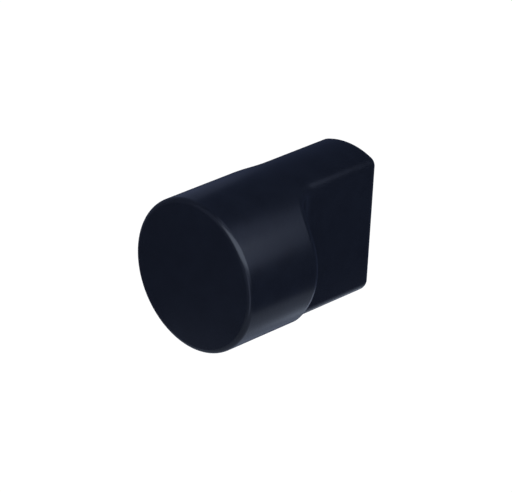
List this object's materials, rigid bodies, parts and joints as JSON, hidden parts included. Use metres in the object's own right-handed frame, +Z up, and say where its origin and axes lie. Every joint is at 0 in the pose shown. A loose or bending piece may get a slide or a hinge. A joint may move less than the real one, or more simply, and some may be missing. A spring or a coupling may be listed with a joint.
{
  "type": "cabinet knob",
  "caption": "Round bar knob with a flat-sided finger grip behind its head and a tapped screw hole in the back.",
  "frame": {"origin": "centre of the back face, in the mouth of the screw hole, where the knob meets the door or drawer front", "axes": "+Y out of the back face towards the door, along the knob's axis; +Z up; +X to the right as seen from the front; the round front face looks along -Y and the two flats of the grip face +X and -X"},
  "size_m": [0.025, 0.035, 0.025],
  "materials": {
    "black_coat": "satin black powder coat with a fine even texture and a faint blue tint"
  },
  "bodies": {
    "root": {"knob": "black_coat"}
  },
  "joints": []
}
